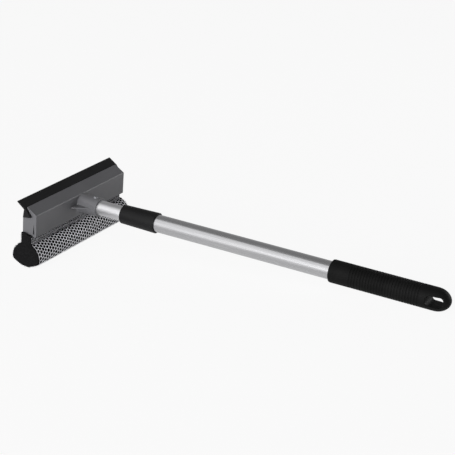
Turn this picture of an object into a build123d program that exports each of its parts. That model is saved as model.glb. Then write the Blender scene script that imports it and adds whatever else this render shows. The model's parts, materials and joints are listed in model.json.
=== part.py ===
from build123d import *
import math
import os

os.makedirs("parts", exist_ok=True)

# Window scrubber: a squeegee blade and a netted sponge on one head, with a telescopic pole.
# Millimetres. The pieces are drawn on the pole: X runs along the head, Y runs along the
# pole from the head's front face towards the grip, and Z points to the blade.
# At the end the whole tool is laid on a table, resting on its sponge and its grip.

# One overrun serves all cuts, so that no cut ends on a face
overrun = 5.0

# Fits
running_clearance = 0.06
seat_clearance = 0.05
loose_clearance = 0.15
soft_clearance = 0.1
end_clearance = 0.1

# Head moulding
head_length = 197.0
head_depth = 19.5
face_top = 12.5
face_bottom = 15.7
lip_reach = 13.6
lip_rise = 8.2
lip_edge_thickness = 1.1
bend_radius = 1.8
edge_radius = 0.4
block_top_front = 9.4
block_top_back = 7.4
block_bottom = 13.9
crotch_depth = 6.0
foot_depth = 6.5

# Pockets that keep the moulding's walls thin
wall = 2.6
pocket_start = 24.0
pocket_count = 2
end_block = 6.5
rib_thickness = 7.0
pocket_top = 2.2
pocket_front = 8.0
slot_start = 30.0
slot_top = 1.2
slot_bottom = 12.3
slot_width = 2.3
slot_front = 2.4

# Socket for the pole
socket_length = 28.0
socket_radius = 12.15
socket_depth = 4.0
socket_ridge_half = 9.4
socket_side_half = 11.6
socket_flank_half = 10.8
socket_rim_length = 3.0
rim_edge_radius = 0.6
socket_flare = 3.4
fin_reach = 24.0
fin_length = 19.0
fin_thickness = 1.6

# Rubber blade and the bead that holds it in the head
blade_overhang = 3.5
blade_back = 17.2
blade_waist_back = 15.8
blade_waist_height = 18.5
blade_tip_reach = 25.4
blade_tip_height = 27.0
blade_tip_thickness = 1.1
bead_centre = 12.6
bead_neck_half = 1.2
bead_half = 1.9
bead_neck_depth = 0.9
bead_depth = 2.6

# Sponge and net
sponge_overhang = 5.0
sponge_centre = 11.5
neck_half = 8.4
crease_drop = 24.8
shoulder_drop = 32.9
hip_half = 20.5
hip_drop = 48.8
sole_peak_drop = 59.0
crease_radius = 1.5
shoulder_radius = 21.0
hip_radius = 6.5
sole_radius = 24.0
table_flat = 0.5
net_thickness = 0.8
net_inset = 1.0
foam_end_radius = 2.0
top_gap = 0.2

# Strip and screws that hold the sponge under the head
strip_width = 9.0
strip_thickness = 2.5
strip_inset = 3.5
strip_screw_radius = 1.5
strip_screw_length = 12.0
strip_head_radius = 3.2
strip_head_height = 2.0
strip_centre = 11.5

# Pole
inner_tube_radius = 9.5
inner_tube_wall = 1.0
inner_tube_length = 346.0
outer_tube_radius = 11.0
outer_tube_wall = 1.2
inner_shown = 33.9
tube_shown = 235.0

# Collar on the front of the outer tube, and the bush inside it
collar_length = 49.7
collar_front_radius = 11.9
collar_rear_radius = 12.9
collar_edge = 1.0
collar_nose = 3.2
bush_length = 8.0
bush_radius = 10.6

# Grip
grip_length = 147.1
grip_radius = 13.85
grip_nose_length = 18.2
grip_edge = 1.2
grip_lip_length = 25.4
rib_pitch = 3.5
ribs_to_slot = 6.5
groove_width = 1.7
groove_depth = 0.55
groove_floor_share = 0.4
tube_to_slot = 11.0
hang_slot_length = 20.5
hang_slot_height = 12.6
hang_slot_radius = 5.2
hang_slot_to_tip = 6.7
hang_slot_edge = 1.0

# Plug in the rear end of the outer tube
plug_shank_length = 12.0
plug_flange_thickness = 2.0

# Twist lock on the tail of the inner tube
cam_shank_length = 20.0
cam_shoulder_length = 3.0
guide_ring_length = 6.0
guide_groove_radius = 7.5
cam_flange_radius = 9.3
cam_flange_length = 2.5
cam_offset = 0.33
journal_radius = 5.0
journal_length = 12.0
lock_ring_radius = 9.3
ring_gap = 2.2
pin_radius = 1.5
washer_radius = 8.0
washer_thickness = 1.0
journal_screw_radius = 1.6
journal_screw_length = 9.0
screw_head_radius = 3.6
screw_head_height = 2.4
drive_width = 1.2
drive_depth = 1.1

# Screw in the top of the socket
socket_screw_place = 20.2
socket_screw_radius = 1.45
socket_screw_length = 6.0
socket_screw_head_radius = 2.8
socket_screw_head_height = 1.6
socket_screw_sink = 1.0

# Places along the pole, worked out from the sizes above
tube_front = -socket_depth
collar_front = socket_length + inner_shown
collar_rear = collar_front + collar_length
bush_front = collar_front + collar_nose
outer_tube_front = bush_front + bush_length
grip_front = collar_rear + tube_shown
grip_tip = grip_front + grip_length
hang_slot_rear = grip_tip - hang_slot_to_tip
hang_slot_front = hang_slot_rear - hang_slot_length
outer_tube_rear = hang_slot_front - tube_to_slot
inner_tail = tube_front + inner_tube_length
guide_front = inner_tail + cam_shoulder_length
guide_rear = guide_front + guide_ring_length
journal_front = guide_rear + cam_flange_length
journal_rear = journal_front + journal_length
inner_bore = inner_tube_radius - inner_tube_wall
outer_bore = outer_tube_radius - outer_tube_wall

# Lengths along the head, worked out from the sizes above
blade_length = head_length + 2 * blade_overhang
bead_length = head_length - 2 * end_block
sponge_length = head_length + 2 * sponge_overhang
strip_length = head_length - 2 * strip_inset
pocket_pitch = (head_length / 2 - end_block - pocket_start) / pocket_count
pocket_length = pocket_pitch - rib_thickness

# Heights on the head, worked out from the sizes above
lip_length = math.hypot(lip_reach, lip_rise)
lip_under_edge = (
    -lip_reach - lip_edge_thickness * lip_rise / lip_length,
    face_top + lip_rise - lip_edge_thickness * lip_reach / lip_length,
)
socket_screw_seat = socket_radius - socket_screw_sink
strip_bottom = -block_bottom - top_gap - strip_thickness
strip_screw_top = strip_bottom + strip_screw_length


def face_yz(*points):
    """A flat face in the Y-Z plane with these corners."""
    return Plane.YZ * make_face(Polyline(*points, close=True))


def along_head(face, length):
    """Run a Y-Z face along the head, centred on the pole."""
    return extrude(face, amount=length / 2, both=True)


def turned(*points):
    """Turn an outline of (place along the pole, radius) points about the pole."""
    return revolve(face_yz(*points), axis=Axis.Y)


def rod(radius, start, end, height=0.0):
    """A round bar along the pole from start to end."""
    bar = Cylinder(radius, end - start, align=(Align.CENTER, Align.CENTER, Align.MIN))
    return Pos(0, start, height) * Rot(X=-90) * bar


def upright(radius, x, y, bottom, top):
    """A round bar that stands along Z."""
    bar = Cylinder(radius, top - bottom, align=(Align.CENTER, Align.CENTER, Align.MIN))
    return Pos(x, y, bottom) * bar


def block(x_range, y_range, z_range):
    """A box between two limits on each axis."""
    size = [high - low for low, high in (x_range, y_range, z_range)]
    middle = [(low + high) / 2 for low, high in (x_range, y_range, z_range)]
    return Pos(*middle) * Box(*size)


# Head moulding: block, lip and front wall in one, with the socket in the middle
def head_section():
    section = face_yz(
        (0, face_top),
        (-lip_reach, face_top + lip_rise),
        lip_under_edge,
        (-crotch_depth, block_top_front),
        (-head_depth, block_top_back),
        (-head_depth, -block_bottom),
        (-foot_depth, -block_bottom),
        (-foot_depth, -face_bottom),
        (0, -face_bottom),
    )
    bend = section.vertices().sort_by_distance((0, 0, face_top))[0]
    return fillet(bend, bend_radius)


def bead_section(clearance):
    """The bead under the blade's root, grown by a clearance for its groove."""
    top = block_top_front + clearance
    neck = bead_neck_half + clearance
    half = bead_half + clearance
    neck_bottom = block_top_back - bead_neck_depth
    bottom = block_top_back - bead_depth - clearance
    return face_yz(
        (-bead_centre - neck, top),
        (-bead_centre - neck, neck_bottom),
        (-bead_centre - half, neck_bottom),
        (-bead_centre - half, bottom),
        (-bead_centre + half, bottom),
        (-bead_centre + half, neck_bottom),
        (-bead_centre + neck, neck_bottom),
        (-bead_centre + neck, top),
    )


def socket_upper():
    """The round top, between two flanks that spread from inside the bend out to the rim."""
    at_face = [
        (socket_ridge_half, face_top),
        (socket_ridge_half, math.sqrt(socket_radius ** 2 - socket_ridge_half ** 2)),
        (socket_flank_half, 0),
    ]
    at_rim = [
        (socket_side_half, face_top),
        (socket_side_half, math.sqrt(socket_radius ** 2 - socket_side_half ** 2)),
        (socket_radius, 0),
    ]
    rim_middle = socket_length - socket_rim_length / 2
    faces = []
    for half, place in ((at_face, -bend_radius), (at_face, 0), (at_rim, rim_middle)):
        mirrored = [(-x, z) for x, z in reversed(half)]
        corners = [(x, place, z) for x, z in mirrored + half]
        faces.append(make_face(Polyline(*corners, close=True)))
    return loft(faces, ruled=True) & rod(socket_radius, -bend_radius, rim_middle)


def socket_body():
    start = -wall
    lower = rod(socket_radius, start, socket_length) & block(
        (-socket_radius, socket_radius), (start, socket_length), (-socket_radius, 0)
    )
    rim = rod(socket_radius, socket_length - socket_rim_length, socket_length)
    rim = fillet(rim.edges().group_by(Axis.Y)[-1], rim_edge_radius)
    arc = ThreePointArc(
        (0, socket_radius + socket_flare),
        (socket_flare * (1 - math.sqrt(0.5)), socket_radius + socket_flare * (1 - math.sqrt(0.5))),
        (socket_flare, socket_radius),
    )
    edges = arc + Polyline(
        (socket_flare, socket_radius),
        (socket_flare, socket_radius - wall),
        (start, socket_radius - wall),
        (start, socket_radius + socket_flare),
        (0, socket_radius + socket_flare),
    )
    flare = revolve(Plane.YZ * make_face(edges), axis=Axis.Y)
    flare = flare & block((-fin_reach, fin_reach), (start, socket_flare), (-face_bottom, 0))
    fin_apex = fin_length * fin_reach / (fin_reach - socket_radius)
    fin_outline = Polyline((-fin_reach, 0), (fin_reach, 0), (0, fin_apex), close=True)
    fins = extrude(make_face(fin_outline), amount=fin_thickness / 2, both=True)
    fins = fins & block((-fin_reach, fin_reach), (0, fin_length), (-fin_thickness, fin_thickness))
    return socket_upper() + lower + rim + flare + fins


def strip_screw_places():
    """Each screw stands in solid plastic, on the rib between the pockets or past them."""
    first = pocket_start + pocket_length + rib_thickness / 2
    return [side * (first + step * pocket_pitch)
            for side in (-1, 1) for step in range(pocket_count)]


def make_head():
    body = along_head(head_section(), head_length)
    ends = body.edges().group_by(Axis.X)
    body = fillet(ends[0] + ends[-1], edge_radius) + socket_body()
    body -= along_head(bead_section(seat_clearance), bead_length + 2 * end_clearance)
    # The pole's seat
    body -= rod(inner_tube_radius + seat_clearance, tube_front - end_clearance,
                socket_length + overrun)
    # Pockets from below
    for side in (-1, 1):
        for step in range(pocket_count):
            near = pocket_start + step * pocket_pitch
            limits = sorted((side * near, side * (near + pocket_length)))
            body -= block(limits, (-head_depth + wall, -pocket_front),
                          (-face_bottom - overrun, pocket_top))
    # Narrow slots behind the front wall, open at the head's two ends
    slot = extrude(
        face_yz(
            (-slot_front - slot_width / 2, slot_top),
            (-slot_front - slot_width, -slot_bottom),
            (-slot_front, -slot_bottom),
        ),
        amount=head_length / 2,
    )
    body -= Pos(X=slot_start) * slot
    body -= mirror(Pos(X=slot_start) * slot, about=Plane.YZ)
    # Screw holes
    for x in strip_screw_places():
        body -= upright(strip_screw_radius + seat_clearance, x, -strip_centre,
                        -face_bottom, strip_screw_top + end_clearance)
    body -= upright(socket_screw_radius + seat_clearance, 0, socket_screw_place, 0, face_top)
    body -= upright(socket_screw_head_radius + seat_clearance, 0, socket_screw_place,
                    socket_screw_seat, face_top + overrun)
    return body


def pan_screw(radius, length, head_radius, head_height):
    """A screw along Z: the head's underside is at zero and the shank points down."""
    shank = upright(radius, 0, 0, -length, 0)
    head = upright(head_radius, 0, 0, 0, head_height)
    head = fillet(head.edges().group_by(Axis.Z)[-1], head_height / 2)
    for turn in (0, 90):
        head -= Rot(Z=turn) * Box(
            head_radius + drive_width, drive_width, 2 * drive_depth
        ).moved(Location((0, 0, head_height)))
    return shank + head


def make_socket_screw():
    screw = pan_screw(socket_screw_radius, socket_screw_length, socket_screw_head_radius,
                      socket_screw_head_height)
    return Pos(0, socket_screw_place, socket_screw_seat) * screw


# Rubber blade: a root that fills the space under the lip, a waist behind it, and a wedge
# that is drawn out to a thin edge. Its bead ends inside the head, so the end faces are plain
def make_blade():
    gap = seat_clearance
    edge_y, edge_z = lip_under_edge
    tip_slope = math.atan2(blade_tip_height - edge_z, blade_tip_reach + edge_y)
    tip_y = -blade_tip_reach + blade_tip_thickness * math.sin(tip_slope)
    tip_z = blade_tip_height - blade_tip_thickness * math.cos(tip_slope)
    back_share = (head_depth - blade_back) / (head_depth - crotch_depth)
    back_z = block_top_back + (block_top_front - block_top_back) * back_share + gap
    root = face_yz(
        (-crotch_depth - 2 * gap, block_top_front),
        (edge_y - gap, edge_z - gap),
        (-blade_tip_reach, blade_tip_height),
        (tip_y - blade_tip_thickness, tip_z),
        (-blade_waist_back, blade_waist_height),
        (-blade_back, back_z),
    )
    return along_head(root, blade_length) + along_head(bead_section(0), bead_length)


# Sponge: foam with a narrow neck over a full, round body, in a net sleeve
def sponge_section(inset):
    """The sponge's outline about its own middle, drawn in by the inset.

    A crease divides the neck from the body, whose sole is two slopes with a rounded peak."""
    path = FilletPolyline(
        (neck_half, 0),
        (neck_half, -crease_drop),
        (hip_half, -shoulder_drop),
        (hip_half, -hip_drop),
        (0, -sole_peak_drop),
        (-hip_half, -hip_drop),
        (-hip_half, -shoulder_drop),
        (-neck_half, -crease_drop),
        (-neck_half, 0),
        radius=[crease_radius, shoulder_radius, hip_radius, sole_radius, hip_radius,
                shoulder_radius, crease_radius],
    )
    section = make_face(path + Line((-neck_half, 0), (neck_half, 0)))
    if inset:
        section = offset(section, amount=-inset)
    return Plane.YZ * (Pos(-sponge_centre, 0) * section)


def under_head(sponge):
    """Cut a sponge piece to the space under the block and behind the foot."""
    limit = sponge_length
    top = block((-limit, limit), (-limit, limit), (-block_bottom - top_gap, limit))
    foot = block((-limit, limit), (-foot_depth - top_gap, limit), (-face_bottom - top_gap, limit))
    return sponge - top - foot


def make_foam():
    foam = along_head(sponge_section(net_thickness + soft_clearance), sponge_length)
    foam = under_head(foam)
    room = soft_clearance
    half = strip_length / 2 + room
    foam -= block((-half, half),
                  (-strip_centre - strip_width / 2 - room, -strip_centre + strip_width / 2 + room),
                  (strip_bottom - room, 0))
    for x in strip_screw_places():
        foam -= upright(strip_head_radius + room, x, -strip_centre,
                        strip_bottom - strip_head_height - room, strip_bottom)
    ends = foam.edges().group_by(Axis.X)
    low_ends = [edge for edge in ends[0] + ends[-1]
                if edge.center().Z < -face_bottom - foam_end_radius]
    return fillet(low_ends, foam_end_radius)


def make_net():
    length = sponge_length - 2 * net_inset
    outer = along_head(sponge_section(0), length)
    inner = along_head(sponge_section(net_thickness), length + overrun)
    return under_head(outer - inner)


def make_strip():
    half = strip_length / 2
    strip = block((-half, half),
                  (-strip_centre - strip_width / 2, -strip_centre + strip_width / 2),
                  (strip_bottom, strip_bottom + strip_thickness))
    for x in strip_screw_places():
        strip -= upright(strip_screw_radius + seat_clearance, x, -strip_centre,
                         strip_bottom - overrun, 0)
    return strip


def make_strip_screws():
    screw = Rot(X=180) * pan_screw(strip_screw_radius, strip_screw_length, strip_head_radius,
                                   strip_head_height)
    return [Pos(x, -strip_centre, strip_bottom) * screw for x in strip_screw_places()]


# Pole
def make_inner_tube():
    tube = rod(inner_tube_radius, tube_front, inner_tail)
    tube -= rod(inner_bore, tube_front - overrun, inner_tail + overrun)
    tube -= upright(socket_screw_radius + seat_clearance, 0, socket_screw_place,
                    0, inner_tube_radius + overrun)
    tube -= cross_pin(pin_radius + seat_clearance, inner_tube_radius + overrun)
    return tube


def make_outer_tube():
    tube = rod(outer_tube_radius, outer_tube_front, outer_tube_rear)
    return tube - rod(outer_bore, outer_tube_front - overrun, outer_tube_rear + overrun)


def make_collar():
    shell = turned(
        (collar_front, inner_tube_radius + loose_clearance),
        (collar_front, collar_front_radius - collar_edge),
        (collar_front + collar_edge / 2, collar_front_radius - collar_edge / 4),
        (collar_front + collar_edge, collar_front_radius),
        (collar_rear - collar_edge / 2, collar_rear_radius),
        (collar_rear, collar_rear_radius - collar_edge / 2),
        (collar_rear, outer_tube_radius + seat_clearance),
        (outer_tube_front, outer_tube_radius + seat_clearance),
        (outer_tube_front, bush_radius + seat_clearance),
        (bush_front, bush_radius + seat_clearance),
        (bush_front, inner_tube_radius + loose_clearance),
    )
    return shell


def make_guide_bush():
    bush = rod(bush_radius, bush_front, outer_tube_front)
    return bush - rod(inner_tube_radius + running_clearance, bush_front - overrun,
                      outer_tube_front + overrun)


# Grip with grooves round it and a slot to hang it by
def make_grip():
    bore = outer_tube_radius + seat_clearance
    bore_end = outer_tube_rear + plug_flange_thickness
    nose_start = grip_tip - grip_nose_length
    outline = [(grip_front, bore), (grip_front, grip_radius - grip_edge),
               (grip_front + grip_edge / 2, grip_radius - grip_edge / 4),
               (grip_front + 1.5 * grip_edge, grip_radius)]
    floor = groove_width * groove_floor_share
    ribs_start = grip_front + grip_lip_length
    rib_count = int((hang_slot_front - ribs_to_slot - ribs_start) / rib_pitch)
    for step in range(rib_count):
        middle = ribs_start + (step + 0.5) * rib_pitch
        outline += [(middle - groove_width / 2, grip_radius),
                    (middle - floor / 2, grip_radius - groove_depth),
                    (middle + floor / 2, grip_radius - groove_depth),
                    (middle + groove_width / 2, grip_radius)]
    outline.append((nose_start, grip_radius))
    nose = EllipticalCenterArc((nose_start, 0), grip_nose_length, grip_radius,
                               start_angle=0, arc_size=90)
    inside = Polyline((grip_tip, 0), (bore_end, 0), (bore_end, bore), (grip_front, bore))
    profile = make_face(Polyline(*outline) + nose + inside)
    grip = revolve(Plane.YZ * profile, axis=Axis.Y)
    slot_sketch = RectangleRounded(hang_slot_length, hang_slot_height, hang_slot_radius)
    middle = (hang_slot_front + hang_slot_rear) / 2
    slot = extrude(Plane.YZ * (Pos(middle, 0) * slot_sketch), amount=grip_radius + overrun,
                   both=True)
    grip = grip - slot
    mouths = [edge for edge in grip.edges()
              if hang_slot_front - hang_slot_edge < edge.center().Y < grip_tip - hang_slot_edge
              and abs(edge.center().X) > bore / 2]
    return fillet(mouths, hang_slot_edge)


def make_tube_plug():
    flange = rod(outer_tube_radius, outer_tube_rear, outer_tube_rear + plug_flange_thickness)
    return flange + rod(outer_bore - seat_clearance, outer_tube_rear - plug_shank_length,
                        outer_tube_rear)


# Twist lock: a plug with an off-centre journal, and the ring that it wedges in the outer tube
def cross_pin(radius, half_length):
    middle = inner_tail - cam_shank_length / 2
    return Pos(0, middle, 0) * Rot(Y=90) * Cylinder(radius, 2 * half_length)


def make_cam_plug():
    plug = rod(inner_bore - seat_clearance, inner_tail - cam_shank_length, inner_tail)
    plug += rod(inner_tube_radius, inner_tail, guide_front)
    plug += rod(guide_groove_radius, guide_front, guide_rear)
    plug += rod(cam_flange_radius, guide_rear, journal_front)
    plug += rod(journal_radius, journal_front, journal_rear, cam_offset)
    plug -= cross_pin(pin_radius + seat_clearance, inner_tube_radius)
    plug -= rod(journal_screw_radius + seat_clearance,
                journal_rear - journal_screw_length - end_clearance,
                journal_rear + overrun, cam_offset)
    return plug


def ring_split(start, end):
    """The gap that lets a nylon ring open, on the underside."""
    return block((-ring_gap / 2, ring_gap / 2), (start - overrun, end + overrun),
                 (-outer_tube_radius - overrun, 0))


def make_guide_ring():
    start, end = guide_front + end_clearance, guide_rear - end_clearance
    ring = rod(outer_bore - running_clearance, start, end)
    ring -= rod(guide_groove_radius + running_clearance, start - overrun, end + overrun)
    return ring - ring_split(start, end)


def make_lock_ring():
    start, end = journal_front + end_clearance, journal_rear - end_clearance
    ring = rod(lock_ring_radius, start, end)
    ring -= rod(journal_radius + running_clearance, start - overrun, end + overrun, cam_offset)
    return ring - ring_split(start, end)


def make_journal_washer():
    end = journal_rear + washer_thickness
    washer = rod(washer_radius, journal_rear, end, cam_offset)
    return washer - rod(journal_screw_radius + seat_clearance, journal_rear - overrun,
                        end + overrun, cam_offset)


def make_journal_screw():
    screw = pan_screw(journal_screw_radius, journal_screw_length + washer_thickness,
                      screw_head_radius, screw_head_height)
    return Pos(0, journal_rear + washer_thickness, cam_offset) * Rot(X=-90) * screw


# The angle at which the sponge's sole and the grip both touch one table
def table_angle():
    grip_centre = grip_tip - grip_nose_length
    sole_slope = math.atan2(sole_peak_drop - hip_drop, hip_half)
    sole_z = -sole_peak_drop + sole_radius / math.cos(sole_slope)
    angle = 0.0
    for _ in range(40):
        grip_drop = math.hypot(grip_nose_length * math.sin(angle),
                               grip_radius * math.cos(angle))
        fall = sole_radius - table_flat - sole_z * math.cos(angle) - grip_drop
        angle = math.asin(fall / (grip_centre + sponge_centre))
    height = grip_centre * math.sin(angle) + grip_drop
    return math.degrees(angle), height


nodes = {
    "head_body": [make_head()],
    "squeegee_blade": [make_blade()],
    "sponge_foam": [make_foam()],
    "sponge_net": [make_net()],
    "sponge_strip": [make_strip()],
    "strip_screws": make_strip_screws(),
    "socket_screw": [make_socket_screw()],
    "inner_tube": [make_inner_tube()],
    "outer_tube": [make_outer_tube()],
    "collar": [make_collar()],
    "guide_bush": [make_guide_bush()],
    "grip": [make_grip()],
    "tube_plug": [make_tube_plug()],
    "cam_plug": [make_cam_plug()],
    "plug_pin": [cross_pin(pin_radius, inner_tube_radius - end_clearance)],
    "guide_ring": [make_guide_ring()],
    "lock_ring": [make_lock_ring()],
    "journal_washer": [make_journal_washer()],
    "journal_screw": [make_journal_screw()],
}

# Lay the tool on the table, with the origin under the middle of its box
tilt, height = table_angle()
lean = Pos(Z=height) * Rot(X=-tilt)
laid = {name: [lean * solid for solid in solids] for name, solids in nodes.items()}
below = block((-sponge_length, sponge_length), (-sponge_length, sponge_length),
              (-sponge_length, 0))
laid["sponge_net"] = [laid["sponge_net"][0] - below]
box = Compound([solid for solids in laid.values() for solid in solids]).bounding_box()
middle_y = (box.min.Y + box.max.Y) / 2
print("tilt", round(tilt, 3), "axis height at the face", round(height, 3),
      "shift", round(-middle_y, 3), "box", box)
for name, solids in laid.items():
    moved = [Pos(Y=-middle_y) * solid for solid in solids]
    export_step(moved[0] if len(moved) == 1 else Compound(moved), f"parts/{name}.step")
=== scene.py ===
# %% [markdown]
# # A window scrubber, dressed around its measured parts
# The tool is a rubber squeegee blade and a netted sponge on one grey moulded head, with a
# telescopic aluminium pole and a ribbed black grip. Its hard pieces come ready made and to size,
# so this lesson gives them their finishes. The two soft pieces, the foam and the net round it,
# are modelled here. We first load the measured parts and remember how large they are.

# %% Load the measured parts
import json
import math

import bmesh
import bpy
from mathutils import Matrix, Vector, noise


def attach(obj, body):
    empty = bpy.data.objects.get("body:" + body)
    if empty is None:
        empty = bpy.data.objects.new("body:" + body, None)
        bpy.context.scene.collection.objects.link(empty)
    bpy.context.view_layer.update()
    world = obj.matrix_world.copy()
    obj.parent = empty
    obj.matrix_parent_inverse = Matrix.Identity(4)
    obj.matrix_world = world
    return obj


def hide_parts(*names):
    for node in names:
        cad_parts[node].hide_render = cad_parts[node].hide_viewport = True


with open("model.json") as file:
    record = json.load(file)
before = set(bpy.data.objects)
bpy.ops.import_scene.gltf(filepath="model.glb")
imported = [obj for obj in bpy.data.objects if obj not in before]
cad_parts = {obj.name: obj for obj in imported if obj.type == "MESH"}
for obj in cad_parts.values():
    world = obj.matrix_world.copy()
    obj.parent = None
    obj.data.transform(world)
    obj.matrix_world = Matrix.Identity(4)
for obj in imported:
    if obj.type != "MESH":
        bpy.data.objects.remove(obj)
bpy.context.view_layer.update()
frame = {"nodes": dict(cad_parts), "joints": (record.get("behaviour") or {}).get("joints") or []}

# %% [markdown]
# The camera comes first, because every later choice is judged through it. It stands on the grip's
# side of the tool, a little above it. The lens is long, so the pole hardly tapers with distance.
# Its place, turn and focal length were found by lining up the tool's real sizes with the
# photograph. We set them as plain numbers, because an aimed constraint would hide the small roll.
# The Standard view shows each colour as it is written, with no film look over it.

# %% Camera
CAMERA_PLACE = (1.4271, 0.75089, 0.632)
CAMERA_TURN_DEGREES = (70.431, 0.2977, 118.2639)
LENS_MM = 114.03

camera_data = bpy.data.cameras.new("camera")
camera_data.lens = LENS_MM
camera_data.sensor_width = 36.0
camera_data.clip_end = 100.0
camera = bpy.data.objects.new("camera", camera_data)
camera.location = CAMERA_PLACE
camera.rotation_euler = [math.radians(angle) for angle in CAMERA_TURN_DEGREES]
bpy.context.collection.objects.link(camera)
bpy.context.scene.camera = camera
bpy.context.scene.view_settings.view_transform = "Standard"
print("camera", CAMERA_PLACE, "lens", LENS_MM, "mm")

# %% [markdown]
# Colours are chosen on a screen, as sRGB hex values, but a renderer adds up light in
# linear values. One function turns one into the other, so that a colour renders as it is written.
# A second small function adds a shader node, sets it up and links it, and a third starts a finish,
# which keeps each one short to read.

# %% Colour and shader helpers
def colour(hex_value):
    """A linear RGBA colour from an sRGB hex value such as 0x808080."""
    channels = [((hex_value >> shift) & 0xFF) / 255 for shift in (16, 8, 0)]
    linear = [c / 12.92 if c <= 0.04045 else ((c + 0.055) / 1.055) ** 2.4 for c in channels]
    return (*linear, 1.0)


def add_node(tree, kind, inputs=None, **settings):
    """Add a node. An input's value is a number, a colour or another node's output."""
    made = tree.nodes.new(kind)
    for name, value in settings.items():
        setattr(made, name, value)
    for name, value in (inputs or {}).items():
        if isinstance(value, bpy.types.NodeSocket):
            tree.links.new(value, made.inputs[name])
        else:
            made.inputs[name].default_value = value
    return made


def new_finish(name, base, roughness, **values):
    """A material with one Principled shader, set to a plain colour and roughness."""
    material = bpy.data.materials.new(name)
    material.use_nodes = True
    shader = material.node_tree.nodes["Principled BSDF"]
    shader.inputs["Base Color"].default_value = colour(base)
    shader.inputs["Roughness"].default_value = roughness
    for socket, value in values.items():
        shader.inputs[socket.replace("_", " ")].default_value = value
    return material, material.node_tree, shader


MM = 0.001
print("mid grey 0x808080 is", round(colour(0x808080)[0], 3), "in linear light")

# %% [markdown]
# The tool lies on a table, so its pole leans a few degrees. Patterns such as the drawing lines on
# the tube run along the pole, and the sponge is easiest to model square to it. So we read the
# pole's direction and one point on it from the twist joint, and make a matrix that carries
# "pole" coordinates (X along the head, Y along the pole to the grip, Z to the blade) to the table.

# %% The pole's own directions
twist = next(joint for joint in frame["joints"] if joint["name"] == "pole_twist")
along_pole = Vector(twist["axis"])
lean = math.atan2(-along_pole.z, along_pole.y)
pole_to_table = Matrix.Translation(twist["pos_m"]) @ Matrix.Rotation(-lean, 4, "X")
table_to_pole = pole_to_table.inverted()


def size_on_pole(node):
    """The lowest and highest corner of a measured part, in pole directions."""
    points = [table_to_pole @ v.co for v in frame["nodes"][node].data.vertices]
    low = Vector([min(p[i] for p in points) for i in range(3)])
    high = Vector([max(p[i] for p in points) for i in range(3)])
    return low, high


print("the pole leans", round(math.degrees(lean), 2), "degrees")

# %% [markdown]
# The stage is a plain white sweep, as in a product picture: floor and background are one white.
# A ray from the camera that meets it sees mostly plain white and a little of the lit floor, so the
# tool keeps a faint shadow without any extra light. Light Path tells such rays apart. Rays that
# leave a gloss see some of that white too, so the tubes show the room that they lie in, but the
# floor that lights the tool is a plain pale one.

# %% How much plain white a ray sees
def white_seen(tree, share, gloss_share):
    """One share for rays that reach the camera straight or through glass, one for gloss."""
    ray = add_node(tree, "ShaderNodeLightPath")
    straight = add_node(tree, "ShaderNodeMath", {0: ray.outputs["Is Camera Ray"],
                                                 1: ray.outputs["Is Transmission Ray"]},
                        operation="MAXIMUM")
    straight = add_node(tree, "ShaderNodeMath", {0: straight.outputs[0], 1: share},
                        operation="MULTIPLY")
    gloss = add_node(tree, "ShaderNodeMath", {0: ray.outputs["Is Glossy Ray"],
                                              1: gloss_share}, operation="MULTIPLY")
    return add_node(tree, "ShaderNodeMath", {0: straight.outputs[0], 1: gloss.outputs[0]},
                    operation="MAXIMUM").outputs[0]


print("white is ready")

# %% Floor
FLOOR_SIZE = 40.0
FLOOR_DROP = 0.0002
FLOOR_WHITE_SHARE = 0.92
FLOOR_GLOSS_SHARE = 0.54

bpy.ops.object.select_all(action="DESELECT")
bpy.ops.mesh.primitive_plane_add(size=FLOOR_SIZE, location=(0, 0, -FLOOR_DROP))
floor = bpy.context.active_object
floor.name = "floor"

floor_paper = bpy.data.materials.new("floor_matt_paper")
floor_paper.use_nodes = True
tree = floor_paper.node_tree
tree.nodes.clear()
paper = add_node(tree, "ShaderNodeBsdfDiffuse", {"Color": colour(0xE0E0E0)})
white = add_node(tree, "ShaderNodeEmission", {"Color": colour(0xFFFFFF), "Strength": 1.0})
mixed = add_node(tree, "ShaderNodeMixShader", {0: white_seen(tree, FLOOR_WHITE_SHARE,
                                                             FLOOR_GLOSS_SHARE),
                                               1: paper.outputs[0], 2: white.outputs[0]})
add_node(tree, "ShaderNodeOutputMaterial", {"Surface": mixed.outputs[0]})
floor.data.materials.append(floor_paper)
print("floor", FLOOR_SIZE, "m wide")

# %% [markdown]
# The light is a soft studio light, and the tubes tell where it stood. A round tube mirrors the
# room in a ring around it: a broad bright band from a white wall at the head's side, a dark line
# along the top from a dim ceiling, and a paler edge from the far horizon. So the sky fades
# from pale at the horizon to dim overhead. The room on the grip's side is dimmer still, because
# the head's front wall is much darker than its end. To the camera the sky is plain white.

# %% Sky
HORIZON = 0.28
CEILING = 0.12
CEILING_STARTS = 0.15
CEILING_ENDS = 0.80
GRIP_SIDE_SHARE = 0.18
GRIP_SIDE_STARTS = -0.3
GRIP_SIDE_ENDS = 0.3
SKY_GLOSS_SHARE = 0.18

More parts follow.
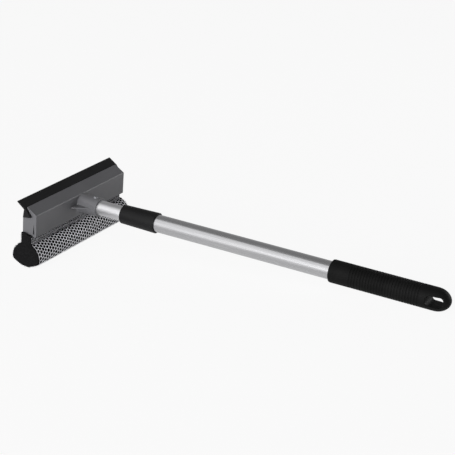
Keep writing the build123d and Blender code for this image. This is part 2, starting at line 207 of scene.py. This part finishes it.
world = bpy.data.worlds.new("studio")
bpy.context.scene.world = world
world.use_nodes = True
tree = world.node_tree
tree.nodes.clear()
direction = add_node(tree, "ShaderNodeTexCoord")
heading = add_node(tree, "ShaderNodeSeparateXYZ", {0: direction.outputs["Generated"]})
overhead = add_node(tree, "ShaderNodeMapRange", {"Value": heading.outputs["Z"],
                                                 "From Min": CEILING_STARTS,
                                                 "From Max": CEILING_ENDS,
                                                 "To Min": HORIZON, "To Max": CEILING},
                    interpolation_type="SMOOTHSTEP")
grip_side = add_node(tree, "ShaderNodeMapRange", {"Value": heading.outputs["Y"],
                                                  "From Min": GRIP_SIDE_STARTS,
                                                  "From Max": GRIP_SIDE_ENDS,
                                                  "To Min": 1.0, "To Max": GRIP_SIDE_SHARE},
                     interpolation_type="SMOOTHSTEP")
strength = add_node(tree, "ShaderNodeMath", {0: overhead.outputs[0], 1: grip_side.outputs[0]},
                    operation="MULTIPLY")
sky = add_node(tree, "ShaderNodeBackground", {"Color": colour(0xFFFFFF),
                                              "Strength": strength.outputs[0]})
backdrop = add_node(tree, "ShaderNodeBackground", {"Color": colour(0xFFFFFF), "Strength": 1.0})
mixed = add_node(tree, "ShaderNodeMixShader", {0: white_seen(tree, 1.0, SKY_GLOSS_SHARE),
                                               1: sky.outputs[0], 2: backdrop.outputs[0]})
add_node(tree, "ShaderNodeOutputWorld", {"Surface": mixed.outputs[0]})
print("sky from", HORIZON, "to", CEILING)

# %% [markdown]
# Three soft boxes light the tool. The wall is large and mild. It stands behind the head's near
# end, so it gives the tubes their broad band and lights the end wall, but not the front wall. The
# key is farther off and stronger. It stands a little round on the grip's side, where the tubes
# can't mirror it, so it lights the end wall and the net's cords, and only skims the front wall.
# The rim is small and low, across from the camera, and draws a thin light along the head's
# rounded bend. A lamp's power is worked out from how bright its face should look, because that is
# what a gloss shows.

# %% Soft boxes
def soft_box(name, azimuth, elevation, distance, size, brightness):
    """A square lamp that faces the tool. Azimuth 0 is behind the head, 90 at its near end."""
    lamp_data = bpy.data.lights.new(name, "AREA")
    lamp_data.size = size
    lamp_data.energy = brightness * math.pi * size ** 2
    lamp = bpy.data.objects.new(name, lamp_data)
    turn, rise = math.radians(azimuth), math.radians(elevation)
    away = Vector((math.sin(turn) * math.cos(rise), -math.cos(turn) * math.cos(rise),
                   math.sin(rise)))
    lamp.location = away * distance
    lamp.rotation_euler = away.to_track_quat("Z", "Y").to_euler()
    bpy.context.collection.objects.link(lamp)
    print(name, round(lamp_data.energy, 1), "W")


soft_box("wall_soft_box", azimuth=58.0, elevation=30.0, distance=3.0, size=4.2,
         brightness=0.77)
soft_box("key_soft_box", azimuth=99.0, elevation=14.0, distance=5.0, size=2.4,
         brightness=10.5)
soft_box("rim_soft_box", azimuth=-124.0, elevation=9.0, distance=1.6, size=0.55,
         brightness=7.5)

# %% [markdown]
# Every pattern below is placed on Object coordinates, which are metres on the table here. A
# Mapping node turns them to the pole's directions, so "along Y" means along the pole. Scales
# are worked out from a real spacing in millimetres: a noise texture has about one blob per unit,
# so its scale is one over the spacing. A noise is seldom under 0.3 or over 0.7, so that span is
# stretched to the full range before it is used.

# %% Pattern helpers
NOISE_LOW = 0.3
NOISE_HIGH = 0.7


def pole_coordinates(tree, stretch=(1.0, 1.0, 1.0)):
    """Object coordinates turned to the pole. A stretch under 1 draws a pattern out that way."""
    place = add_node(tree, "ShaderNodeTexCoord")
    moved = add_node(tree, "ShaderNodeMapping", {"Vector": place.outputs["Object"],
                                                 "Rotation": (lean, 0.0, 0.0)})
    return add_node(tree, "ShaderNodeMapping", {"Vector": moved.outputs[0],
                                                "Scale": stretch}).outputs[0]


def noise_pattern(tree, spacing_mm, stretch=(1.0, 1.0, 1.0), detail=2.0):
    """A soft noise with about this spacing, from 0 to 1."""
    return add_node(tree, "ShaderNodeTexNoise", {"Vector": pole_coordinates(tree, stretch),
                                                 "Scale": 1 / (spacing_mm * MM),
                                                 "Detail": detail}).outputs["Fac"]


def between(tree, pattern, low=0.0, high=1.0, pattern_low=NOISE_LOW):
    """A pattern's usual span, spread between low and high."""
    return add_node(tree, "ShaderNodeMapRange", {"Value": pattern, "From Min": pattern_low,
                                                 "From Max": NOISE_HIGH, "To Min": low,
                                                 "To Max": high}).outputs[0]


def two_tone(tree, shader, pattern, dark, light):
    """Let the colour wander between two close tones."""
    mix = add_node(tree, "ShaderNodeMix", {"Factor": pattern, "A": colour(dark),
                                           "B": colour(light)}, data_type="RGBA")
    tree.links.new(mix.outputs["Result"], shader.inputs["Base Color"])


def vary_roughness(tree, shader, pattern, low, high):
    """Let the roughness wander between two values."""
    tree.links.new(between(tree, pattern, low, high), shader.inputs["Roughness"])


def relief(tree, shader, pattern, height_mm, under=None):
    """Raise the surface by a pattern, in real millimetres."""
    inputs = {"Height": pattern, "Distance": height_mm * MM, "Strength": 1.0}
    if under is not None:
        inputs["Normal"] = under
    bump = add_node(tree, "ShaderNodeBump", inputs)
    tree.links.new(bump.outputs[0], shader.inputs["Normal"])


def soft_edge(tree, radius_mm):
    """A normal that rounds sharp edges by a real radius, as a mould leaves them."""
    return add_node(tree, "ShaderNodeBevel", {"Radius": radius_mm * MM}, samples=6).outputs[0]


print("pattern helpers ready")

# %% [markdown]
# The head is injection-moulded polypropylene, dyed grey. Moulded polypropylene is satin: the mould
# was spark-eroded, which leaves a very fine even grain, and the plastic flows in with faint
# lighter and darker drifts. Real grain is about 0.2 mm, too fine to show, so it is drawn at 0.9 mm
# and very low. Edges are rounded by nearly a millimetre, and catch a thin line of light.

# %% Moulded polypropylene
ROUGHNESS_SPREAD = 0.05


def moulded_polypropylene(name, dark, light, roughness, gloss):
    """Satin moulded plastic, in two close tones."""
    material, tree, shader = new_finish(name, light, roughness, IOR=1.49,
                                        Specular_IOR_Level=gloss)
    drift = noise_pattern(tree, spacing_mm=35.0)
    two_tone(tree, shader, between(tree, drift), dark, light)
    grain = noise_pattern(tree, spacing_mm=0.9, detail=1.0)
    vary_roughness(tree, shader, grain, roughness - ROUGHNESS_SPREAD,
                   roughness + ROUGHNESS_SPREAD)
    relief(tree, shader, grain, height_mm=0.02, under=soft_edge(tree, radius_mm=0.9))
    return material


grey_polypropylene = moulded_polypropylene("grey_polypropylene", dark=0x6B6B6E,
                                           light=0x6F6F72, roughness=0.36, gloss=0.35)
black_polypropylene = moulded_polypropylene("black_polypropylene", dark=0x131314,
                                            light=0x171718, roughness=0.50, gloss=0.2)
print("made", grey_polypropylene.name, "and", black_polypropylene.name)

# %% [markdown]
# The blade is extruded natural rubber, black with carbon. Extrusion leaves long, faint lines along
# the strip, and handling leaves a slightly dusty bloom, so the black is never quite even. The
# lines run along X, so the noise is stretched that way.

# %% Extruded rubber
rubber, tree, shader = new_finish("extruded_rubber", base=0x18181A, roughness=0.55, IOR=1.52,
                                  Specular_IOR_Level=0.2)
bloom = noise_pattern(tree, spacing_mm=18.0, stretch=(0.3, 1.0, 1.0), detail=3.0)
two_tone(tree, shader, between(tree, bloom), dark=0x151516, light=0x1D1D1E)
lines = noise_pattern(tree, spacing_mm=0.7, stretch=(0.01, 1.0, 1.0), detail=1.0)
vary_roughness(tree, shader, lines, low=0.48, high=0.62)
relief(tree, shader, lines, height_mm=0.03, under=soft_edge(tree, radius_mm=0.2))
print("made", rubber.name)

# %% [markdown]
# Both tubes are drawn aluminium with a satin anodised skin. Drawing pulls fine scratches along the
# tube, and etching before anodising dulls them, so the metal shows broad soft bands rather than
# a mirror. The thin tube is etched longer, so it is paler and its bands run into each other. Real
# drawing lines are under 0.1 mm apart. They are drawn at 0.5 mm, which is what a picture of
# this size can show, and stretched a hundred times along the pole.

# %% Anodised aluminium
def drawn_aluminium(name, dark, light, roughness):
    """Satin metal with fine lines along the pole."""
    material, tree, shader = new_finish(name, light, roughness, Metallic=1.0)
    lines = noise_pattern(tree, spacing_mm=0.5, stretch=(1.0, 0.01, 1.0))
    vary_roughness(tree, shader, lines, roughness - ROUGHNESS_SPREAD,
                   roughness + ROUGHNESS_SPREAD)
    two_tone(tree, shader, between(tree, lines), dark, light)
    relief(tree, shader, lines, height_mm=0.006)
    return material


anodised_aluminium = drawn_aluminium("anodised_aluminium", dark=0xC0C0C2, light=0xCACACC,
                                     roughness=0.26)
etched_aluminium = drawn_aluminium("etched_anodised_aluminium", dark=0xD4D4D6,
                                   light=0xDEDEE0, roughness=0.44)
print("made", anodised_aluminium.name, "and", etched_aluminium.name)

# %% [markdown]
# The grip is a soft thermoplastic rubber, moulded over the tube's end. It is matt and darker than
# the collar, with a fine leathery grain that hides finger marks. Its grooves and the slot's
# rounded mouths are real geometry, so the material only adds grain.

# %% Soft grip plastic
soft_grip, tree, shader = new_finish("soft_grip_plastic", base=0x131313, roughness=0.62,
                                     IOR=1.5, Specular_IOR_Level=0.1)
wear = noise_pattern(tree, spacing_mm=22.0, detail=3.0)
two_tone(tree, shader, between(tree, wear), dark=0x0E0E0E, light=0x141414)
grain = noise_pattern(tree, spacing_mm=1.0)
vary_roughness(tree, shader, grain, low=0.55, high=0.70)
relief(tree, shader, grain, height_mm=0.05, under=soft_edge(tree, radius_mm=0.25))
print("made", soft_grip.name)

# %% [markdown]
# The screws, washer and pin are steel with a bright zinc plate. Zinc plate is a little blue and
# shows a fine mottled crystal, called spangle when it is large. The bush, rings and plug inside
# the pole are white nylon: slightly waxy, so a little light goes into it before it comes back.

# %% Zinc plate and white nylon
zinc, tree, shader = new_finish("zinc_plated_steel", base=0xC2C4C8, roughness=0.3,
                                Metallic=1.0)
mottle = noise_pattern(tree, spacing_mm=0.8)
two_tone(tree, shader, between(tree, mottle), dark=0xB8BABF, light=0xCCCED2)
vary_roughness(tree, shader, mottle, low=0.22, high=0.38)
relief(tree, shader, mottle, height_mm=0.01, under=soft_edge(tree, radius_mm=0.1))

nylon, tree, shader = new_finish("white_nylon", base=0xE4E1D8, roughness=0.42, IOR=1.53,
                                 Subsurface_Weight=0.1,
                                 Subsurface_Radius=(1.0 * MM, 0.9 * MM, 0.7 * MM))
cloud = noise_pattern(tree, spacing_mm=6.0)
two_tone(tree, shader, between(tree, cloud), dark=0xDFDCD2, light=0xE8E5DC)
bumps = noise_pattern(tree, spacing_mm=0.6)
relief(tree, shader, bumps, height_mm=0.01, under=soft_edge(tree, radius_mm=0.2))
print("made", zinc.name, "and", nylon.name)

# %% [markdown]
# Now each measured part gets its finish. A part keeps its mesh. Only its material slots change.

# %% Finish the measured parts
FINISHES = {
    "head_body": grey_polypropylene,
    "squeegee_blade": rubber,
    "inner_tube": etched_aluminium,
    "outer_tube": anodised_aluminium,
    "collar": black_polypropylene,
    "grip": soft_grip,
    "tube_plug": black_polypropylene,
    "sponge_strip": black_polypropylene,
    "strip_screws": zinc,
    "socket_screw": zinc,
    "plug_pin": zinc,
    "journal_washer": zinc,
    "journal_screw": zinc,
    "guide_bush": nylon,
    "cam_plug": nylon,
    "guide_ring": nylon,
    "lock_ring": nylon,
}


def give_finish(piece, finish):
    """Put one finish on a piece, in place of what it had."""
    piece.data.materials.clear()
    piece.data.materials.append(finish)


for node, finish in FINISHES.items():
    give_finish(frame["nodes"][node], finish)
print("finished", len(FINISHES), "measured parts")

# %% [markdown]
# The sponge is a bar of black open-cell foam. Seen from the end it has a narrow neck under the
# head, a crease, and then a full round body whose sole has two slopes. We describe that outline
# once, as a path of straights and arcs from the neck's front edge, round the sole, to its back
# edge. The foam and the net both follow it, the net outside and the foam inside, so they can't
# drift apart. The two sides are alike about the sponge's middle, so half the corners are enough.

# %% The sponge's outline
net_low, net_high = size_on_pole("sponge_net")
foam_low, foam_high = size_on_pole("sponge_foam")
head_low, head_high = size_on_pole("head_body")
strip_low, strip_high = size_on_pole("sponge_strip")
screws_low = size_on_pole("strip_screws")[0]

SPONGE_MIDDLE = (net_low.y + net_high.y) / 2
HIP_HALF = (net_high.y - net_low.y) / 2
NECK_HALF = 8.4 * MM
CREASE_Z = -24.8 * MM
SHOULDER_Z = -32.9 * MM
HIP_Z = -48.8 * MM
SOLE_PEAK_Z = -59.0 * MM
CREASE_RADIUS = 1.5 * MM
SHOULDER_RADIUS = 21.0 * MM
HIP_RADIUS = 6.5 * MM
SOLE_RADIUS = 24.0 * MM
EDGE_RADIUS = 1.0 * MM
NET_TUCK = 5.0 * MM
TOP_GAP = 0.2 * MM
FRONT_TOP = head_low.z - TOP_GAP
BACK_TOP = net_high.z


def rounded_path(corners, radii):
    """Straights and arcs through these corners, as (length, start, heading, turn)."""
    corners = [Vector(corner) for corner in corners]
    pieces, here = [], corners[0]
    for before, corner, after, radius in zip(corners, corners[1:], corners[2:], radii):
        into, out = (corner - before).normalized(), (after - corner).normalized()
        turn = -into.angle_signed(out)
        reach = radius * math.tan(abs(turn) / 2)
        start = corner - into * reach
        pieces.append(((start - here).length, here, into, 0.0))
        pieces.append((radius * abs(turn), start, into, turn))
        here = corner + out * reach
    last = corners[-1] - here
    return pieces + [(last.length, here, last.normalized(), 0.0)]


def walk(pieces, distance):
    """The point at this distance along a path, and the direction to its left."""
    for length, start, heading, turn in pieces:
        if distance <= length or (length, start, heading, turn) == pieces[-1]:
            break
        distance -= length
    left = Vector((-heading.y, heading.x))
    if turn == 0.0:
        return start + heading * distance, left
    centre = start + left * (length / turn)
    bend = Matrix.Rotation(turn * distance / length, 2)
    return centre + bend @ (start - centre), bend @ left


side = [(NECK_HALF, CREASE_Z), (HIP_HALF, SHOULDER_Z), (HIP_HALF, HIP_Z)]
corners = [(NECK_HALF - NET_TUCK, FRONT_TOP), (NECK_HALF, FRONT_TOP), *side, (0, SOLE_PEAK_Z),
           *[(-y, z) for y, z in reversed(side)], (-NECK_HALF, BACK_TOP),
           (-NECK_HALF + NET_TUCK, BACK_TOP)]
side_radii = [EDGE_RADIUS, CREASE_RADIUS, SHOULDER_RADIUS, HIP_RADIUS]
radii = [*side_radii, SOLE_RADIUS, *reversed(side_radii)]
outline = rounded_path(corners, radii)
outline_length = sum(piece[0] for piece in outline)
print("the net goes", round(outline_length / MM, 1), "mm round the sponge")

# %% [markdown]
# The foam starts as a flat many-sided disc. Its corners are moved to the outline, a little inside
# the net, and the face is extruded to the sponge's length. Cutting foam with a hot wire leaves
# crisp edges that soon wear round, so the ends are bevelled. The strip and its screws sit in a
# groove on top, which a Boolean cuts, and another trims the neck short at the far end, as it is
# in the photograph. A voxel remesh then gives even small faces that can carry the pores.

# %% Foam bar
FOAM_INSET = 0.55 * MM
FOAM_OUTLINE_POINTS = 120


def activate(piece):
    """Select this one object alone, and make it the active one."""
    bpy.ops.object.select_all(action="DESELECT")
    piece.select_set(True)
    bpy.context.view_layer.objects.active = piece


def apply_modifier(piece, kind, **settings):
    """Add a modifier, set it up and apply it at once."""
    activate(piece)
    modifier = piece.modifiers.new(kind.lower(), kind)
    for name, value in settings.items():
        setattr(modifier, name, value)
    bpy.ops.object.modifier_apply(modifier=modifier.name)


def sponge_point(distance, x, outward):
    """A point on the sponge, in pole directions: along the outline, along the head, and out."""
    place, left = walk(outline, distance)
    place = place + left * outward
    return Vector((x, SPONGE_MIDDLE + place.x, place.y))


bpy.ops.object.select_all(action="DESELECT")
bpy.ops.mesh.primitive_circle_add(vertices=FOAM_OUTLINE_POINTS, fill_type="NGON")
foam = bpy.context.active_object
foam.name = "foam_sponge"
for index, vertex in enumerate(foam.data.vertices):
    distance = outline_length * index / (FOAM_OUTLINE_POINTS - 1)
    vertex.co = sponge_point(distance, foam_low.x, -FOAM_INSET)
activate(foam)
bpy.ops.object.mode_set(mode="EDIT")
bpy.ops.mesh.select_all(action="SELECT")
bpy.ops.mesh.extrude_region_move(
    TRANSFORM_OT_translate={"value": (foam_high.x - foam_low.x, 0, 0)})
bpy.ops.mesh.select_all(action="SELECT")
bpy.ops.mesh.normals_make_consistent(inside=False)
bpy.ops.object.mode_set(mode="OBJECT")
print("foam bar", len(foam.data.vertices), "vertices")

# %% Round the foam's two ends
FOAM_END_ROUND = 2.0 * MM
FOAM_END_SEGMENTS = 5
END_FACE_NORMAL = 0.9

activate(foam)
bpy.ops.object.mode_set(mode="EDIT")
bpy.ops.mesh.select_all(action="DESELECT")
bpy.ops.mesh.select_mode(type="FACE")
shape = bmesh.from_edit_mesh(foam.data)
for face in shape.faces:
    face.select_set(abs(face.normal.x) > END_FACE_NORMAL)
bmesh.update_edit_mesh(foam.data)
bpy.ops.mesh.bevel(offset=FOAM_END_ROUND, segments=FOAM_END_SEGMENTS, affect="EDGES")
bpy.ops.object.mode_set(mode="OBJECT")
print("rounded the ends by", FOAM_END_ROUND / MM, "mm")

# %% Cut the groove for the strip, and the neck's far end
STRIP_ROOM = 0.4 * MM
NECK_END_WALL = 1.5 * MM
CUT_TOP = 0.0  # the pole's height, above the whole sponge
FOAM_VOXEL = 0.9 * MM

groove_low = Vector((strip_low.x - STRIP_ROOM, strip_low.y - STRIP_ROOM,
                     screws_low.z - STRIP_ROOM))
groove_high = Vector((strip_high.x + STRIP_ROOM, strip_high.y + STRIP_ROOM, CUT_TOP))
neck_far_end = groove_low.x - NECK_END_WALL
trim_low = Vector((foam_low.x - STRIP_ROOM, foam_low.y, CREASE_Z))
trim_high = Vector((neck_far_end, foam_high.y, CUT_TOP))


def cut_block(piece, low, high):
    """Cut a square-cornered block out of a piece."""
    bpy.ops.object.select_all(action="DESELECT")
    bpy.ops.mesh.primitive_cube_add(size=1.0, location=(low + high) / 2)
    block = bpy.context.active_object
    block.scale = high - low
    apply_modifier(piece, "BOOLEAN", object=block, operation="DIFFERENCE", solver="EXACT")
    bpy.data.objects.remove(block)


cut_block(foam, groove_low, groove_high)
cut_block(foam, trim_low, trim_high)
apply_modifier(foam, "REMESH", mode="VOXEL", voxel_size=FOAM_VOXEL)
print("remeshed to", len(foam.data.vertices), "vertices")

# %% [markdown]
# Under the head the neck is squeezed. Past the head's near end nothing holds it down, so the foam
# springs up there, and its top edge comes out uneven.

# %% Let the neck's free end spring up
SPRING_UP = 3.6 * MM
SPRING_START = head_high.x + 0.3 * MM
SPRING_END = head_high.x + 1.8 * MM


def ramp(value, start, end):
    """A smooth step from 0 at the start to 1 at the end."""
    share = min(max((value - start) / (end - start), 0.0), 1.0)
    return share * share * (3 - 2 * share)


for vertex in foam.data.vertices:
    free = ramp(vertex.co.x, SPRING_START, SPRING_END)
    vertex.co.z += SPRING_UP * free * ramp(vertex.co.z, CREASE_Z, BACK_TOP)
print("the neck's end rises", SPRING_UP / MM, "mm")

# %% [markdown]
# Open-cell foam has pores of about two millimetres in several sizes. At the sponge's ends, where
# the foam is cut, they show as a rough, pitted skin. Two displacement textures do it: a soft one
# for the uneven cut, and a cellular one for the pores. Both are made with a seedless noise, so
# the foam is the same each time. The mesh is still square to the pole, so it is then
# turned to the table, and the sole is pressed flat where it rests.

# %% Pores
LUMP_SPACING = 11.0 * MM
LUMP_DEPTH = 0.9 * MM
PORE_SPACING = 2.2 * MM
PORE_DEPTH = 0.55 * MM


def texture(name, kind, spacing, **settings):
    """A displacement texture with a real spacing."""
    made = bpy.data.textures.new(name, kind)
    made.noise_scale = spacing
    for setting, value in settings.items():
        setattr(made, setting, value)
    return made


apply_modifier(foam, "DISPLACE", texture=texture("lumps", "CLOUDS", LUMP_SPACING),
               texture_coords="LOCAL", strength=LUMP_DEPTH, mid_level=0.7)
apply_modifier(foam, "DISPLACE", texture=texture("pores", "VORONOI", PORE_SPACING),
               texture_coords="LOCAL", strength=PORE_DEPTH, mid_level=0.9)
foam.data.transform(pole_to_table)
for vertex in foam.data.vertices:
    vertex.co.z = max(vertex.co.z, 0.0)
activate(foam)
bpy.ops.object.shade_smooth()
print("foam", len(foam.data.polygons), "faces")

# %% [markdown]
# The foam's skin is all open cells, dyed black through, so it takes light in and gives almost none
# back. A cellular pattern paints shade into the hollow of each cell, so it comes out darker than
# its walls, and the same pattern raises the walls as a small relief. The cells are drawn about a
# millimetre wide, so that they can show. The foam rides on the head and stands for its measured
# part.

# %% Foam's finish and place
CELL_SPACING = 1.1 * MM
CELL_LOW = 0.1

foam_finish, tree, shader = new_finish("open_cell_foam", base=0x121213, roughness=0.95,
                                       Specular_IOR_Level=0.1)
cell_pores_and_painted_shade = add_node(tree, "ShaderNodeTexVoronoi", {"Vector": pole_coordinates(tree),
                                                "Scale": 1 / CELL_SPACING}).outputs["Distance"]
# painted shade: the hollow of each cell is coloured darker than its walls
two_tone(tree, shader, between(tree, cell_pores_and_painted_shade, pattern_low=CELL_LOW), dark=0x0B0B0C,
         light=0x1C1C1D)
relief(tree, shader, cell_pores_and_painted_shade, height_mm=0.3)
give_finish(foam, foam_finish)
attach(foam, "head")
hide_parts("sponge_foam")
print("foam is dressed")

# %% [markdown]
# The net is warp-knitted nylon with round six-sided holes, between 4 and 5 mm apart. Round the
# neck it is gathered, which makes its holes half as wide. It is modelled as it is made, flat. One
# six-sided face is copied beside itself, half a step down, to be repeated as a pair. Three sides
# of a hole make a pair's width, and a hole is the square root of three sides high.

# %% A pair of holes
def pair_of_holes(name, pair_step, row_step):
    """Two six-sided faces side by side, the second half a step down."""
    bpy.ops.object.select_all(action="DESELECT")
    bpy.ops.mesh.primitive_circle_add(vertices=6, radius=1.0, fill_type="NGON")
    net = bpy.context.active_object
    net.name = name
    net.rotation_euler.z = math.radians(30)
    bpy.ops.object.transform_apply(location=False, rotation=True, scale=False)
    net.scale = (pair_step / 3, row_step / math.sqrt(3), 1.0)
    bpy.ops.object.transform_apply(location=False, rotation=False, scale=True)
    bpy.ops.object.mode_set(mode="EDIT")
    bpy.ops.mesh.select_all(action="SELECT")
    bpy.ops.mesh.duplicate_move(
        TRANSFORM_OT_translate={"value": (pair_step / 2, -row_step / 2, 0)})
    bpy.ops.object.mode_set(mode="OBJECT")
    return net


# %% [markdown]
# Two Array modifiers repeat the pair over the whole cut. The last hole of a row stands out past
# its pair by a sixth of a pair, and that of a column by half a row, so the steps allow for it. A
# Wireframe modifier turns the lines between the faces into cords, and Subdivision rounds them and
# their corners, which makes the holes round. It also thins the cords, so they start wider. The
# fine gathered cords are too small for rounding to show, so they stay square.

# %% A flat net
SMOOTHED_SHARE = 0.73
WELD_DISTANCE = 0.01 * MM


def flat_net(name, width, height, pairs, rows, thread, smooth):
    """A flat net of six-sided holes, in pairs of columns, with cords this wide."""
    pair_step = width / (pairs + 1 / 6)
    row_step = height / (rows + 1 / 2)
    net = pair_of_holes(name, pair_step, row_step)
    for step, count in (((pair_step, 0, 0), pairs), ((0, row_step, 0), rows)):
        apply_modifier(net, "ARRAY", use_relative_offset=False, use_constant_offset=True,
                       constant_offset_displace=step, count=count)
    bpy.ops.object.mode_set(mode="EDIT")
    bpy.ops.mesh.select_all(action="SELECT")
    bpy.ops.mesh.remove_doubles(threshold=WELD_DISTANCE)
    bpy.ops.object.mode_set(mode="OBJECT")
    holes = len(net.data.polygons)
    apply_modifier(net, "WIREFRAME", thickness=thread / (SMOOTHED_SHARE if smooth else 1.0),
                   use_replace=True, use_boundary=True, use_even_offset=True)
    if smooth:
        apply_modifier(net, "SUBSURF", levels=1, render_levels=1)
    print(name, holes, "holes,", round(pair_step / 2 / MM, 2), "by", round(row_step / MM, 2),
          "mm,", len(net.data.polygons), "faces")
    return net


# %% [markdown]
# Only now is each flat net wrapped round the sponge, with a little unevenness, because a
# stretched net is never quite regular. The body's net runs from crease to crease. The two
# gathered strips run from the crease up the neck, and turn in over its top under the head. The
# noise that moves the cords would start from the clock, so it is given a seed, and the net comes
# out the same each time.

# %% Wrap a net round the sponge
THREAD_HEIGHT_SHARE = 0.65
DRIFT_SPACING = 28.0 * MM
DRIFT = 1.1 * MM
WOBBLE_SPACING = 5.0 * MM
WOBBLE = 0.55 * MM
NOISE_SEED = 2

noise.seed_set(NOISE_SEED)


def wrap_net(net, start, end, x_start, thread, unevenness):
    """Lay a flat net on the sponge, from start to end round the outline."""
    corner = Vector([min(v.co[i] for v in net.data.vertices) for i in range(2)])
    for vertex in net.data.vertices:
        x, distance = vertex.co.x - corner.x, start + vertex.co.y - corner.y
        flat = Vector((x, distance, 0))
        drift = noise.noise_vector(flat / DRIFT_SPACING) * DRIFT
        drift += noise.noise_vector(flat / WOBBLE_SPACING) * WOBBLE
        drift *= unevenness
        outward = (vertex.co.z - thread / 2) * THREAD_HEIGHT_SHARE
        distance = min(max(distance + drift.y, start), end)
        vertex.co = pole_to_table @ sponge_point(distance, x_start + x + drift.x, outward)
        vertex.co.z = max(vertex.co.z, 0.0)
    activate(net)
    bpy.ops.object.mode_set(mode="EDIT")
    bpy.ops.mesh.select_all(action="SELECT")
    bpy.ops.mesh.normals_make_consistent(inside=False)
    bpy.ops.object.mode_set(mode="OBJECT")
    bpy.ops.object.shade_smooth()


print("the net can drift by", DRIFT / MM, "mm")

# %% Make and wrap the net's three cuts
NET_PAIRS = 22
NET_ROWS = 22
THREAD_WIDTH = 0.50 * MM
HEM_PAIRS = 45
HEM_ROWS = 6
GATHERED_THREAD_WIDTH = 0.28 * MM
HEM_END_GAP = 1.0 * MM

net_length = net_high.x - net_low.x
front_crease = sum(piece[0] for piece in outline[:3]) + outline[3][0] / 2
back_crease = outline_length - sum(piece[0] for piece in outline[-3:]) - outline[-4][0] / 2
hem_start = neck_far_end + HEM_END_GAP
hem_length = net_high.x - hem_start

net = flat_net("net_sleeve", net_length, back_crease - front_crease, NET_PAIRS, NET_ROWS,
               THREAD_WIDTH, smooth=True)
wrap_net(net, front_crease, back_crease, net_low.x, THREAD_WIDTH, unevenness=1.0)
hems = []
for start, end in ((0.0, front_crease), (back_crease, outline_length)):
    hem = flat_net("net_hem", hem_length, end - start, HEM_PAIRS, HEM_ROWS,
                   GATHERED_THREAD_WIDTH, smooth=False)
    wrap_net(hem, start, end, hem_start, GATHERED_THREAD_WIDTH, unevenness=0.5)
    hems.append(hem)
print("the gathered strips are", round(hem_length / MM, 1), "mm long")

# %% [markdown]
# The three cuts are one sleeve, so they are joined. Nylon cord is nearly white and a little
# glossy, and its fine fibres break the gloss up. The net rides on the head too, stretched round
# the foam, and stands for its measured part. Much of a net is holes, so only a share of that size
# counts as its area.

# %% Sew the gathered strips to the net
activate(net)
for hem in hems:
    hem.select_set(True)
bpy.ops.object.join()
print("the net has", len(net.data.polygons), "faces")

net_finish, tree, shader = new_finish("knitted_nylon", base=0xF6F6FA, roughness=0.3, IOR=1.53)
fibre = noise_pattern(tree, spacing_mm=0.6)
two_tone(tree, shader, between(tree, fibre), dark=0xEEEEF4, light=0xFAFAFE)
relief(tree, shader, fibre, height_mm=0.05)
give_finish(net, net_finish)
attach(net, "head")
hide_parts("sponge_net")
print("net is dressed")
